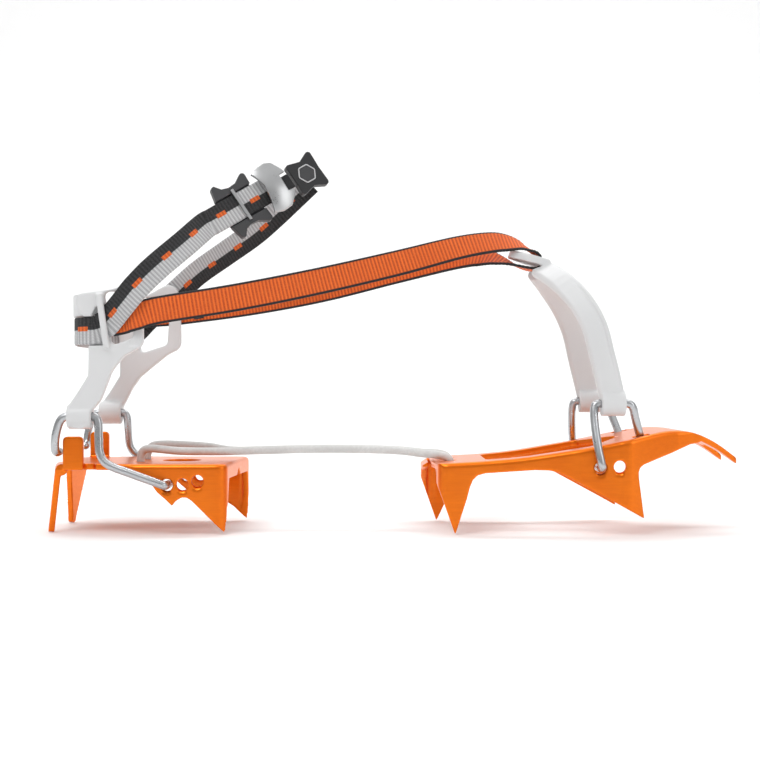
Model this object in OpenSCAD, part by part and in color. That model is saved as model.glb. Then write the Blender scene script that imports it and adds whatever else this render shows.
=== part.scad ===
// Light ten-point crampon: two pressed aluminium frames joined by a cord.
// +X points to the toe, +Y to the wearer's left, +Z up. Millimetres.
// The origin lies on the ground, under the middle of the bounding box.

/* [Frames] */
// Thickness of the pressed aluminium sheet
sheet_t = 2.8; // [2.4:0.1:3.2]
// Height of the top face of both frames above the point tips
plate_z = 32; // [30:0.5:34]
// Outer half width of the heel frame
heel_half_w = 32; // [31:0.5:33]
// Outer half width of the front frame at its rear points
rear_half_w = 31; // [30:0.5:32]
// Outer half width of the front frame at its side points
side_half_w = 37; // [36:0.5:38]
// Radius of the wire holes in the side flanges
wire_hole_r = 2.7; // [2.6:0.1:3]

/* [Wires] */
// Radius of the bent steel wires
wire_r = 1.9; // [1.7:0.1:2]
// Running clearance of the plastic loops on the wires
loop_play = 0.1; // [0.06:0.01:0.14]

/* [Bails] */
// Thickness of the heel bail's side pieces
bail_t = 4.6; // [4:0.2:5]
// Outer radius of the plastic loops that hold the wires
loop_r = 5.6; // [5:0.2:6]

/* [Straps] */
// Width of the ankle webbing and of the tether webbing
web_w = 12.4; // [11:0.2:13]
// Thickness of the webbing
web_t = 1.4; // [1.2:0.1:1.6]
// Radius of each strand of the link cord
cord_r = 1.9; // [1.6:0.1:2]

/* [Hidden] */

$fn = 48;

orange = [0.93, 0.42, 0.06];
steel = [0.75, 0.77, 0.79];
white = [0.92, 0.92, 0.91];
tether_orange = [0.90, 0.33, 0.08];
webbing_grey = [0.45, 0.45, 0.46];
slider_grey = [0.33, 0.33, 0.35];
tab_black = [0.12, 0.12, 0.13];

// ---- Small vector and curve helpers ----------------------------------------

function unit(v) = v / norm(v);

// Point on a Catmull-Rom curve through the list p, at segment i and fraction t
function curve_point(p, i, t) =
    let (
        n = len(p) - 1,
        a = i > 0 ? p[i - 1] : 2 * p[0] - p[1],
        b = p[i],
        c = p[i + 1],
        d = i + 2 <= n ? p[i + 2] : 2 * p[n] - p[n - 1]
    )
    0.5 * (2 * b + (c - a) * t + (2 * a - 5 * b + 4 * c - d) * t * t
        + (3 * b - a - 3 * c + d) * t * t * t);

function reversed(p) = [for (i = [len(p) - 1 : -1 : 0]) p[i]];

// Smooth list of points through p, with `steps` pieces in each stretch
function smooth(p, steps) = [
    for (i = [0 : len(p) - 2]) for (k = [0 : steps - 1]) curve_point(p, i, k / steps),
    p[len(p) - 1]
];

// Points of an arc about c, from angle a to angle b in degrees
function arc(c, r, a, b, n = 6) = [
    for (i = [0 : n]) c + r * [cos(a + (b - a) * i / n), sin(a + (b - a) * i / n)]
];

function circle_section(r, n) = [for (i = [0 : n - 1]) r * [cos(360 * i / n), sin(360 * i / n)]];
function flat_section(w, t) = [[-w, -t] / 2, [w, -t] / 2, [w, t] / 2, [-w, t] / 2];
// Flat section with its four edges chamfered by c
function strap_section(w, t, c) = [
    [c - w / 2, -t / 2], [w / 2 - c, -t / 2], [w / 2, c - t / 2], [w / 2, t / 2 - c],
    [w / 2 - c, t / 2], [c - w / 2, t / 2], [-w / 2, t / 2 - c], [-w / 2, c - t / 2]
];

// Closed solid swept along the points c; the section's first axis follows w
// and is widened by the factors in `wide`
module sweep(c, w, section, wide = []) {
    n = len(c);
    m = len(section);
    points = [
        for (i = [0 : n - 1])
            let (
                t = unit(c[min(i + 1, n - 1)] - c[max(i - 1, 0)]),
                u = unit(w[i] - (w[i] * t) * t),
                v = cross(t, u),
                k = len(wide) == n ? wide[i] : 1
            )
            for (s = section) c[i] + s.x * k * u + s.y * v
    ];
    sides = [
        for (i = [0 : n - 2]) for (j = [0 : m - 1])
            let (a = i * m + j, b = i * m + (j + 1) % m, d = a + m, e = b + m)
            each [[a, d, e], [a, e, b]]
    ];
    start = [[for (j = [0 : m - 1]) j]];
    end = [[for (j = [m - 1 : -1 : 0]) (n - 1) * m + j]];
    polyhedron(points = points, faces = concat(start, sides, end));
}

// Round bar bent along a route that never runs straight along `side`
module bent_rod(route, r, side = [0, 1, 0], steps = 4, n = 12) {
    c = smooth(route, steps);
    sweep(c, [for (p = c) side], circle_section(r, n));
}

// Plate cut to an outline in the XZ plane, from y0 to y1
module side_plate(outline, y0, y1) {
    translate([0, y1, 0]) rotate([90, 0, 0]) linear_extrude(y1 - y0) polygon(outline);
}

// Plate cut to an outline in the YZ plane, from x0 to x1
module cross_plate(outline, x0, x1) {
    translate([x0, 0, 0]) rotate([90, 0, 90]) linear_extrude(x1 - x0) polygon(outline);
}

// Round hole along Y through a flange on one side (-1 right, 1 left)
module flange_hole(x, z, r, side, half_w) {
    translate([x, side * (half_w - 6), z]) rotate([-90 * side, 0, 0]) cylinder(h = 12, r = r);
}

module mirror_y() {
    children();
    mirror([0, 1, 0]) children();
}

function flip_y(list) = [for (p = list) [p.x, -p.y, p.z]];

// ---- Heel frame -------------------------------------------------------------

heel_x0 = -154;
heel_x1 = -75;
heel_bend_r = 5;
cord_hole_x = -118;
cord_hole_y = 9;
cord_hole_r = 2.6;
left_cord_lift = 1.6;

// Outline of the heel plate, with rounded front corners, slanted a little
// forward on the left; `in` shrinks it inwards
function heel_plan(in) =
    let (w = heel_half_w - in, r = heel_bend_r - min(in, heel_bend_r - 1), x1 = heel_x1 - in)
    concat(
        [[heel_x0 + 5 + in, -w + 3], [heel_x0 + 27, -w + 2], [heel_x0 + 37, -w]],
        arc([x1 - r, -w + r], r, -90, 0),
        arc([x1 + 4 - r, w - r], r, 0, 90),
        [[heel_x0 + 37, w], [heel_x0 + 27, w - 2], [heel_x0 + 5 + in, w - 3]],
        [[heel_x0 + in, 9], [heel_x0 + in, -9]]
    );

// Side view of a heel flange: small tooth, three hole field and front point
function heel_flange_side(dx) = [
    [-128, plate_z + 1], [-128, plate_z - 2.4], [-118, 27.4], [-109.5, 23.4], [-106.7, 19.4],
    [-102.8, 16], [-99.9, 13.2], [-98.4, 15.2], [-95.6, 16.9], [-93.3, 16.9], [-91, 15.4],
    [-82.8 + dx, 7.2], [-75.3 + dx, 0], [-75.4 + dx, 11.3], [-74 + dx, 20], [-70, 20],
    [-70, plate_z + 1]
];

// Front view of the heel frame: the front lip is cut away between the points
heel_front_view = concat(
    [[-40, plate_z + 1], [-40, -1], [-heel_half_w + 1.5, -1], [-heel_half_w + 4.5, 12]],
    [[-heel_half_w + 7, 21], [-24, 25], [-4, 25], [0, 28.4], [4, 25], [24, 25]],
    [[heel_half_w - 7, 21], [heel_half_w - 4.5, 12], [heel_half_w - 1.5, -1]],
    [[40, -1], [40, plate_z + 1]]
);

// Rear point in its own plane: broad root, round tip
rear_point_w = 19;
rear_point_tip = 1.9;
function rear_point_outline() = concat(
    [[-rear_point_w / 2, 0], [-rear_point_tip - 0.3, -25.4]],
    arc([0, -27.4], rear_point_tip, 200, 340, 6),
    [[rear_point_tip + 0.3, -25.4], [rear_point_w / 2, 0]]
);
rear_point_turn = 14;
rear_point_lean = 6;

module rear_point() {
    bend_r = sheet_t - 0.1;
    translate([heel_x0 + 1.2, -19, plate_z - sheet_t]) rotate([0, 0, rear_point_turn]) {
        rotate([0, rear_point_lean, 0])
            rotate([90, 0, -90]) linear_extrude(sheet_t) polygon(rear_point_outline());
        // Round bend between the plate and the point
        translate([0, rear_point_w / 2 - 0.2, 0]) rotate([90, 0, 0])
            cylinder(h = rear_point_w - 0.4, r = bend_r);
    }
}

// Upright tab at the rear corner that the wire hooks behind
tab_x0 = -149.6;
tab_x1 = -140.4;
tab_top = 44.4;
module heel_tab() {
    side_plate(
        concat(
            [[tab_x0, plate_z - sheet_t], [tab_x1, plate_z - sheet_t]],
            arc([tab_x1 - 2, tab_top - 2], 2, 0, 90),
            arc([tab_x0 + 2, tab_top - 2], 2, 90, 180)
        ),
        -heel_half_w + 2, -heel_half_w + 2 + sheet_t
    );
}

heel_holes = [[-102.2, 22.6], [-95.2, 22.9], [-88.4, 24.4]];

module heel_frame() {
    color(orange) difference() {
        union() {
            translate([0, 0, plate_z - sheet_t]) linear_extrude(sheet_t) polygon(heel_plan(0));
            intersection() {
                difference() {
                    translate([0, 0, -1]) linear_extrude(plate_z + 0.9) polygon(heel_plan(0));
                    translate([0, 0, -2]) linear_extrude(plate_z + 4) polygon(heel_plan(sheet_t));
                }
                union() {
                    side_plate(heel_flange_side(0), -40, 0);
                    side_plate(heel_flange_side(4), 0, 40);
                }
                cross_plate(heel_front_view, -130, -60);
            }
            mirror_y() rear_point();
            mirror_y() heel_tab();
        }
        for (h = heel_holes) for (side = [-1, 1])
            flange_hole(h.x, h.y, wire_hole_r, side, heel_half_w);
        for (side = [-1, 1]) translate([cord_hole_x, side * cord_hole_y, plate_z - 6])
            cylinder(h = 10, r = cord_hole_r);
        // Weight-saving window and the two round notches by the tabs
        translate([-100, 0, plate_z - 6]) cylinder(h = 10, r = 9);
        for (side = [-1, 1]) translate([-137.6, side * heel_half_w * 0.92, plate_z - 6])
            cylinder(h = 10, r = 2.8);
    }
}

// ---- Front frame ------------------------------------------------------------

// Side profile of the front frame's top face, from rear to tip
front_top = smooth(
    [[18, plate_z], [40, 33.2], [62, 35.4], [90, 40], [112, 44.6], [126, 46.9],
     [138, 45.8], [149, 41], [159.4, 33.8]], 3);
front_under = [for (i = [len(front_top) - 1 : -1 : 0]) front_top[i] - [0, sheet_t]];

// Plan of one side's edge, rear to toe; `in` shrinks it, `dx` moves its rear
function front_edge(in, dx) = concat(
    arc([25 + dx + in, -rear_half_w + 5 + in], 5, 180, 270, 5),
    [[44, -rear_half_w - 0.6 + in], [62, -33.2 + in], [84, -36.2 + in]],
    arc([104, -side_half_w + 9 + in], 9, -105, -62, 4),
    [[118, -31 + in], [130, -25 + in], [141, -20.5 + in]]
);
// Front point of one side and half of the notch between the two points
front_point = concat(
    [[151, -17.6], [158.2, -15.8], [159.4, -14.6], [159.4, -12.6], [158, -11.4], [150, -9.4]],
    arc([142.5, -1.5], 5.2, -60, 0, 4)
);
function flip2(list) = [for (i = [len(list) - 1 : -1 : 0]) [list[i].x, -list[i].y]];
front_plan = concat(front_edge(0, 0), front_point, flip2(front_point), flip2(front_edge(0, -6)));

// Central opening between the two rails
front_opening = concat(
    arc([47, -17.5], 4, 180, 270), arc([88, -23], 4, 265, 345),
    arc([103, -4], 3, -20, 0), arc([103, 4], 3, 0, 20),
    arc([88, 23], 4, 15, 95), arc([47, 17.5], 4, 90, 180)
);

// Lower edge of the skirt in side view: rear point, rail, side point, toe
function front_flange_side(dx) = concat(
    [[18 + dx, 28.2], [28 + dx, 0], [33.3 + dx * 0.6, 16.3], [34.6 + dx * 0.5, 21.4]],
    [[36 + dx * 0.4, 24.8], [38.2 + dx * 0.3, 26.9], [41.6, 27.8], [52, 28.6], [64, 29.4]],
    [[70 + dx * 0.25, 29.3], [74 + dx * 0.25, 28.5], [77.4 + dx * 0.25, 27]],
    [[80.4 + dx * 0.25, 25.3], [97 + dx * 0.25, 16.4], [112.9 + dx * 0.25, 7.6]],
    [[110.3, 26], [110.2, 28.6], [111, 30.6], [112.8, 31.9]],
    [[127.5, 37], [136, 40.4], [143, 41.6]]
);

// Arch that opens the rear end wall between the two rear points
function front_rear_arch() = [
    [-rear_half_w + 1.2, -1], [-rear_half_w + 8.5, 20], [-14, 26.5], [-4, 27.6], [0, 28.8],
    [4, 27.6], [14, 26.5], [rear_half_w - 8.5, 20], [rear_half_w - 1.2, -1]
];

toe_hole_x = 92.8;
toe_hole_z = 30.6;
spare_hole_x = 101.4;
spare_hole_z = 31.2;
front_cord_hole_x = 27;
wall_inset = 0.2;

// Right half of the skirt: a wall that follows the plan, cut to its side view
module front_skirt(dx) {
    end_x = 20 + dx;
    intersection() {
        linear_extrude(60) polygon(concat(
            [[end_x, 0]], front_edge(0, dx), reversed(front_edge(sheet_t, dx)),
            [[end_x + sheet_t, 0]]
        ));
        side_plate(concat(front_flange_side(dx), reversed([for (p = front_top) p - [0, wall_inset]])),
            -50, 1);
    }
}

module front_frame() {
    color(orange) difference() {
        union() {
            intersection() {
                side_plate(concat(front_top, front_under), -50, 50);
                translate([0, 0, 20]) linear_extrude(40) polygon(front_plan);
            }
            front_skirt(0);
            mirror([0, 1, 0]) front_skirt(-6);
        }
        // The end wall is open between the two rear points
        cross_plate(front_rear_arch(), 0, 38);
        translate([0, 0, 20]) linear_extrude(40) polygon(front_opening);
        for (side = [-1, 1]) {
            flange_hole(toe_hole_x, toe_hole_z, wire_hole_r, side, side_half_w);
            flange_hole(spare_hole_x, spare_hole_z, wire_hole_r, side, side_half_w);
            translate([front_cord_hole_x, side * cord_hole_y, 20]) cylinder(h = 30, r = cord_hole_r);
            // Slot in the top face that takes the wire's front leg
            translate([109.2, side * 26.9 - 3.7, 36]) cube([7.4, 7.4, 20]);
        }
    }
}

// ---- Wires ------------------------------------------------------------------

heel_run_y = 34;
heel_run_z = 53.6;
heel_run_x0 = -146.8;
heel_run_x1 = -134.6;
heel_front_leg = [
    [heel_run_x1, -heel_run_y, heel_run_z], [-132.6, -34.2, 51], [-132.2, -34.8, 44],
    [-131.4, -35.6, 36.6], [-127.4, -36.6, 32], [-117, -37, 28], [-105.6, -37, 23.9],
    [-102.6, -36, 22.7], [-102.2, -33, 22.6], [-102.2, -26.4, 22.6]
];
heel_rear_leg = [
    [heel_run_x0, -heel_run_y, heel_run_z], [-149.8, -34, 51.4], [-151.8, -33.6, 45],
    [-152.4, -32.6, 39.4], [-152.2, -30.4, 37.4], [-152, -26.4, 37.4]
];

module heel_wire() {
    color(steel) {
        translate([heel_run_x0 - 0.6, -heel_run_y, heel_run_z]) rotate([0, 90, 0])
            cylinder(h = heel_run_x1 - heel_run_x0 + 1.2, r = wire_r);
        bent_rod(heel_front_leg, wire_r - 0.03, [0.25, 0.3, 1]);
        bent_rod(heel_rear_leg, wire_r - 0.03, [0.3, 0.5, 1]);
    }
}

toe_run_y = 33;
toe_run_z = 59.4;
toe_run_x0 = 92.2;
toe_run_x1 = 105.4;
toe_rear_leg = [
    [toe_run_x0, -toe_run_y, toe_run_z], [90.4, -33.4, 57.2], [90.2, -35.2, 51],
    [91, -38.9, 41], [92.2, -41, 33.6], [92.8, -40.2, 31], [92.8, -36.6, 30.6], [92.8, -29.6, 30.6]
];
toe_front_leg = [
    [toe_run_x1, -toe_run_y, toe_run_z], [107.8, -32.6, 57.6], [109.2, -31, 53],
    [111.4, -28.4, 46.4], [112.8, -26.8, 42], [113, -26.6, 38]
];

module toe_wire() {
    color(steel) {
        translate([toe_run_x0 - 0.6, -toe_run_y, toe_run_z]) rotate([0, 90, 0])
            cylinder(h = toe_run_x1 - toe_run_x0 + 1.2, r = wire_r);
        bent_rod(toe_rear_leg, wire_r - 0.03, [1, 0.2, 0.3]);
        bent_rod(toe_front_leg, wire_r - 0.03, [0.2, 1, 0.1]);
    }
}

// ---- Heel bail --------------------------------------------------------------

bail_y = 36;
// Side view of one cheek: stem, rear branch and the eye for the straps. The
// right cheek stands flexed, with the front bar of its eye pulled back.
cheek_rear = [[-142, 104], [-138.6, 98], [-136.6, 90], [-136.2, 82], [-136.4, 72],
    [-141.4, 64], [-145.6, 58]];
cheek_foot = arc([-140.6, heel_run_z], loop_r, 150, 380, 10);
cheek_left = concat(
    cheek_foot, [[-133, 60], [-130, 66], [-126, 71.5], [-120, 76.5], [-112.4, 82.6]],
    arc([-110.6, 89], 5, -50, 10, 3), [[-106, 104]], arc([-112, 112.6], 5, 20, 110, 4),
    [[-126, 110.6]], arc([-138.4, 105.4], 3.6, 90, 160, 3), cheek_rear
);
cheek_right = concat(
    cheek_foot, [[-130.8, 61], [-128.4, 67], [-125.8, 74], [-120.4, 80.6]],
    arc([-116.4, 88], 4.6, -70, 10, 4), [[-112, 104]], arc([-116.4, 109.2], 4.4, 10, 110, 4),
    [[-126, 110.6]], arc([-138.4, 105.4], 3.6, 90, 160, 3), cheek_rear
);
eye_left = concat(
    arc([-124.2, 86.4], 2.4, 180, 290, 4), arc([-115.4, 89.6], 3, -50, 10, 3),
    arc([-113.6, 108.6], 2.6, 0, 90, 4), arc([-127.6, 109.2], 2, 90, 180, 3)
);
eye_right = concat(
    arc([-124.2, 88.4], 2.4, 180, 280, 4), arc([-118.4, 90.2], 2, -60, 0, 3),
    arc([-118.4, 107.6], 2, 0, 90, 3), arc([-127.2, 107.6], 2, 90, 180, 3)
);
// Hollow in the outer face that the heel webbing lies in
strap_bed = [[-152, 85.4], [-152, 98.4], [-135, 98.4], [-132, 104.2], [-127, 104.2],
    [-126, 85.4]];
strap_bed_y = 35.8;
// Lower outer face of the eye's front bar, where the tether passes over it
tether_bed = [[-118.6, 85], [-118.6, 111], [-104, 111], [-104, 85]];
tether_bed_y = 37.5;
// Rear bar of the eye: a bridge over the webbing
bridge_bar = [[-132.8, 108.6], [-129.8, 108.6], [-126.2, 84], [-129.2, 84]];
bridge_y = 38;
bridge_t = 2.4;
band_z0 = 98.5;
band_z1 = 108.6;
// Plan of the heel band, right to left round the back of the heel
band_plan = smooth([[-134, -bail_y], [-140.6, -33], [-144.6, -24], [-146.6, -12], [-147, 0],
    [-146.6, 12], [-144.6, 24], [-140.6, 33], [-134, bail_y]], 3);
band_t = 3;
function plan_offset(p, d) = [
    for (i = [0 : len(p) - 1])
        let (t = unit(p[min(i + 1, len(p) - 1)] - p[max(i - 1, 0)])) p[i] + d * [t.y, -t.x]
];

// Right cheek with its eye, strap beds, bridge and the loop for the wire
module cheek(outline, eye) {
    difference() {
        side_plate(outline, -bail_y - bail_t / 2, -bail_y + bail_t / 2);
        side_plate(eye, -bail_y - bail_t, -bail_y + bail_t);
        side_plate(strap_bed, -bail_y - bail_t, -strap_bed_y);
        side_plate(tether_bed, -bail_y - bail_t, -tether_bed_y);
    }
    side_plate(bridge_bar, -bridge_y - bridge_t, -bridge_y);
    translate([-146, -heel_run_y, heel_run_z]) rotate([0, 90, 0])
        cylinder(h = 10.8, r = loop_r);
}

module heel_bail() {
    color(white) difference() {
        union() {
            cheek(cheek_right, eye_right);
            mirror([0, 1, 0]) cheek(cheek_left, eye_left);
            translate([0, 0, band_z0]) linear_extrude(band_z1 - band_z0)
                polygon(concat(plan_offset(band_plan, -band_t / 2),
                    reversed(plan_offset(band_plan, band_t / 2))));
        }
        mirror_y() translate([-160, -heel_run_y, heel_run_z]) rotate([0, 90, 0])
            cylinder(h = 40, r = wire_r + loop_play);
    }
}

// ---- Toe bail ---------------------------------------------------------------

toe_arm = [
    [98.8, -33, 60], [97, -34, 68], [93.6, -34, 82], [90.6, -32.6, 94], [85.6, -28.4, 104.6],
    [79, -21.6, 113.4], [73.4, -13, 119.2], [70.2, -6, 121.8], [69.4, 0, 122.4]
];
toe_arm_route = smooth(concat(toe_arm, flip_y(reversed([for (i = [0 : 7]) toe_arm[i]]))), 3);
toe_arm_w = 11.6;
toe_arm_t = 4.6;
toe_hoop_lean = [0.94, 0, 0.34];

tongue_w = 19;
tongue_tip_w = 8.6;
tongue_t = 3.6;
tongue_outline = [[-12.4, -tongue_tip_w / 2 + 1], [-11.4, -tongue_tip_w / 2], [-4, -tongue_w / 2],
    [6.6, -tongue_w / 2], [6.6, tongue_w / 2], [-4, tongue_w / 2], [-11.4, tongue_tip_w / 2],
    [-12.4, tongue_tip_w / 2 - 1]];
tether_slot = 15;
// Places children with X forward along the tongue and Z out of its top face
module on_tongue() {
    translate([67.2, 0, 126.4]) rotate([0, 16, 0]) children();
}

module toe_bail() {
    color(white) difference() {
        union() {
            sweep(toe_arm_route, [for (p = toe_arm_route) toe_hoop_lean],
                strap_section(toe_arm_w, toe_arm_t, 1.4));
            mirror_y() translate([93.4, -toe_run_y, toe_run_z]) rotate([0, 90, 0])
                cylinder(h = 10.8, r = loop_r);
            // Bar and tongue that the tether wraps round
            on_tongue() translate([0, 0, -tongue_t / 2]) linear_extrude(tongue_t)
                polygon(tongue_outline);
        }
        mirror_y() translate([80, -toe_run_y, toe_run_z]) rotate([0, 90, 0])
            cylinder(h = 40, r = wire_r + loop_play);
        on_tongue() {
            translate([0.6, -tether_slot / 2, -10]) cube([3.8, tether_slot, 20]);
            // Way for the lower run under the bar
            translate([-25.6, -tether_slot / 2, -10 - tongue_t / 2]) cube([30, tether_slot, 10]);
        }
    }
}

// ---- Webbing ----------------------------------------------------------------

module strap(route, widths, steps = 4) {
    c = smooth(route, steps);
    w = smooth(widths, steps);
    sweep(c, w, flat_section(web_w, web_t));
}

// Webbing behind the heel, from under one bridge to under the other
wrap_right = [[-133.8, -36.9, 92.1], [-137, -36.9, 92], [-140.8, -35, 91.9],
    [-143.8, -28.6, 91.8], [-145.9, -16, 91.6], [-146.6, -5, 91.6]];
wrap_route = concat(wrap_right, flip_y(reversed(wrap_right)));

module heel_wrap_strap() {
    color(webbing_grey) strap(wrap_route, [for (p = wrap_route) [0, 0, 1]], 3);
}

// Direction of the ankle strap through slider and buckle, its width and face
run_u = unit([12, 6, 8]);
run_w = unit([-0.56, 0, 0.83] - ([-0.56, 0, 0.83] * run_u) * run_u);
run_v = cross(run_u, run_w);
slider_at = [-70.9, -15, 150.7];

// Root of each run, from under the bridge out of the eye
run_root = [[-130.4, -36.9, 94], [-128.2, -36.9, 95.4], [-124.8, -37.7, 99.2],
    [-120, -40.4, 104.4]];
run_root_w = [[-0.06, 0, 1], [-0.24, 0, 0.97], [-0.5, 0.02, 0.86], [-0.6, 0.08, 0.79]];
// Right run of the ankle strap, from the right eye up to the buckle
run_right = concat(run_root,
    [[-114.6, -42, 110.6], [-106, -40.4, 119.6], [-93.6, -31.8, 132]],
    [for (d = [-20 : 4 : 16]) slider_at + d * run_u]
);
run_right_w = concat(run_root_w,
    [[-0.66, 0.08, 0.75], [-0.64, 0, 0.76], [-0.6, 0, 0.8]],
    [for (d = [-20 : 4 : 16]) run_w]
);
module ankle_strap_right() {
    color(webbing_grey) strap(run_right, run_right_w, 3);
}

// Left run, from the left eye to the folded end under the pull tab
run_left = concat(flip_y(run_root),
    [[-112, 42.2, 111.8], [-98, 37, 123.4], [-83, 27.6, 132.4], [-68, 18.6, 141.4]],
    [[-58, 12.8, 149], [-48.6, 9.2, 157.2], [-40, 7, 165]]
);
run_left_w = concat(flip_y(run_root_w),
    [[-0.6, -0.08, 0.8], [-0.52, 0, 0.86], [-0.5, 0, 0.86], [-0.52, 0, 0.85]],
    [[-0.56, 0, 0.83], [-0.6, 0, 0.8], [-0.64, 0, 0.77]]
);
module ankle_strap_left() {
    color(webbing_grey) strap(run_left, run_left_w);
}

// Tether: each run leaves an eye of the heel bail under the ankle strap and
// turns flat towards the toe. The right run ends over the toe bail's bar, the
// left one under it, and they meet in the slot.
tether_right_route = [[-126.2, -35.1, 95.6], [-122.4, -35.9, 96.3], [-119.2, -37, 97],
    [-116.4, -38.8, 97.8], [-113, -39.5, 98.8], [-104, -40, 101.2], [-70, -36.6, 107],
    [-34, -26, 115], [2, -14.6, 124.2], [30, -8.8, 131.8], [45.7, -5.4, 134.7],
    [54, -3, 135], [60, -1.2, 134.2], [65.1, 0, 131.6], [68.3, 0, 129.7],
    [69.7, 0, 127.8], [69.5, 0, 126.4]];
tether_right_w = [[0.1, 0, 1], [0, 0, 1], [0, 0, 1], [0, 0, 1], [0, 0, 1], [-0.1, 0, 1],
    [-0.12, 0, 1], [-0.16, 0.1, 1], [-0.2, 0.2, 0.97], [-0.2, 0.4, 0.9],
    [-0.1, 0.55, 0.83], [0, 0.72, 0.68], [0, 0.9, 0.42], [0, 1, 0.1], [0, 1, 0], [0, 1, 0],
    [0, 1, 0]];
tether_left_route = [[-126.2, 34.8, 102], [-122.4, 35.3, 102.4], [-119.2, 36.1, 102.8],
    [-116.4, 37.7, 103.1], [-113, 39.1, 103.4], [-104, 39.6, 104.4], [-70, 36.6, 108.8],
    [-34, 26, 114.8], [2, 14.6, 123], [30, 8.4, 128.8], [42, 5.4, 129],
    [51, 2.6, 127], [58, 0.8, 124.6], [63.5, 0, 123], [67.4, 0, 122.6], [69.4, 0, 123.6]];
tether_left_w = [[0.1, 0, 1], [0, 0, 1], [0, 0, 1], [0, 0, 1], [0, 0, 1], [-0.1, 0, 1],
    [-0.12, 0, 1], [-0.16, 0, 1], [-0.2, 0.1, 0.97], [-0.2, 0.36, 0.9],
    [-0.1, 0.66, 0.74], [0, 0.9, 0.42], [0, 1, 0.12], [0, 1, 0], [0, 1, 0], [0, 1, 0]];
module tether_right() {
    color(tether_orange) strap(tether_right_route, tether_right_w);
}
module tether_left() {
    color(tether_orange) strap(tether_left_route, tether_left_w);
}

// Bar tack on the inner face of each tether, where its end is folded back
module tether_tack(side) {
    z = side < 0 ? 102.6 : 105.6;
    color(tab_black) translate([-98, side * 38.6, z]) rotate([0, -9, -side * 4])
        cube([5, 0.8, 9.6], center = true);
}

// ---- Ankle buckle -----------------------------------------------------------

// Places children with X along the strap, Y across it and Z out of its face
module on_run(p) {
    u = run_u;
    w = run_w;
    v = run_v;
    multmatrix([
        [u.x, w.x, v.x, p.x], [u.y, w.y, v.y, p.y], [u.z, w.z, v.z, p.z], [0, 0, 0, 1]
    ]) children();
}

// Bow-tie plate: the strap lies on it between two raised sides
slider_outline = concat(
    [[10.2, -7], [10.2, 7]], arc([8.9, 11.4], 1.6, 0, 110, 4), [[4, 10.3], [0, 9.9], [-3.4, 10.8]],
    arc([-6.4, 12.2], 1.6, 70, 180, 4), [[-9.2, 7], [-9.2, -7]],
    arc([-6.4, -12.2], 1.6, 180, 290, 4), [[-3.4, -10.8], [0, -9.9], [4, -10.3]],
    arc([8.9, -11.4], 1.6, 250, 360, 4)
);
slider_channel = web_w + 1.4;
slider_slot = web_w - 1.4;
slider_top = 0.9;
module ankle_slider() {
    color(slider_grey) on_run(slider_at) difference() {
        translate([0, 0, -2.4]) linear_extrude(slider_top + 2.4) polygon(slider_outline);
        translate([-20, -slider_channel / 2, -1.05]) cube([40, slider_channel, 5]);
        for (x = [-3.6, 2]) translate([x, -slider_slot / 2, -5]) cube([2.4, slider_slot, 8]);
    }
}
module slider_bar() {
    color(steel) on_run(slider_at) translate([-0.5, -8.2, slider_top + 0.05]) cube([1.5, 16.4, 1.3]);
}

buckle_at = slider_at + 17 * run_u;
dome_r = 32;
dome_z = 6.6;
dome_t = 1.6;
neck_shift = -1.7;
module buckle_plate() {
    color(steel) on_run(buckle_at) difference() {
        intersection() {
            translate([0, 0, dome_z - dome_r]) sphere(r = dome_r);
            linear_extrude(10) polygon([
                [-5.6, -11.4], [-1, -12.8], [4, -12.4], [8.6, -8], [9.2, -6.2], [5.6, -5.8],
                [5.6, 2.6], [9.2, 2.8], [9, 4.4], [6, 10], [3, 11.2], [-1, 10.8], [-5.6, 9.4],
                [-3.4, 2], [-4.6, -6.4]]);
        }
        translate([0, 0, dome_z - dome_r - dome_t]) sphere(r = dome_r);
    }
}
module buckle_bar() {
    color(steel) on_run(buckle_at) translate([-1, -8, 1.9]) rotate([-90, 0, 0])
        cylinder(h = 16, r = 1.1);
}
module tab_neck() {
    color(tab_black) on_run(buckle_at) translate([0.4, neck_shift - 3.6, 0.9]) cube([10.7, 7.2, 1.2]);
}

tab_at = slider_at + 35.4 * run_u + 1.6 * run_v - 3 * run_w;
tab_outline = concat(
    arc([-5.4, 6.6], 1.5, 90, 180, 4), [[-6.6, 3.4], [-6.6, -3.4]],
    arc([-5.4, -6.6], 1.5, 180, 270, 4), [[1, -6.6]], arc([6.6, -7.6], 1.5, 250, 360, 4),
    [[7.8, 0]], arc([6.6, 7.6], 1.5, 0, 110, 4), [[1, 6.6]]
);
badge_r = 4.2;
module pull_tab() {
    color(tab_black) on_run(tab_at) difference() {
        translate([0, 0, -1.9]) linear_extrude(3.8) polygon(tab_outline);
        translate([0.6, 0, 1.2]) cylinder(h = 4, r = badge_r + 0.2, $fn = 6);
    }
}
module tab_badge() {
    color(slider_grey) on_run(tab_at) translate([0.6, 0, 1.25])
        cylinder(h = 0.8, r = badge_r, $fn = 6);
}

// ---- Link cord --------------------------------------------------------------

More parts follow.
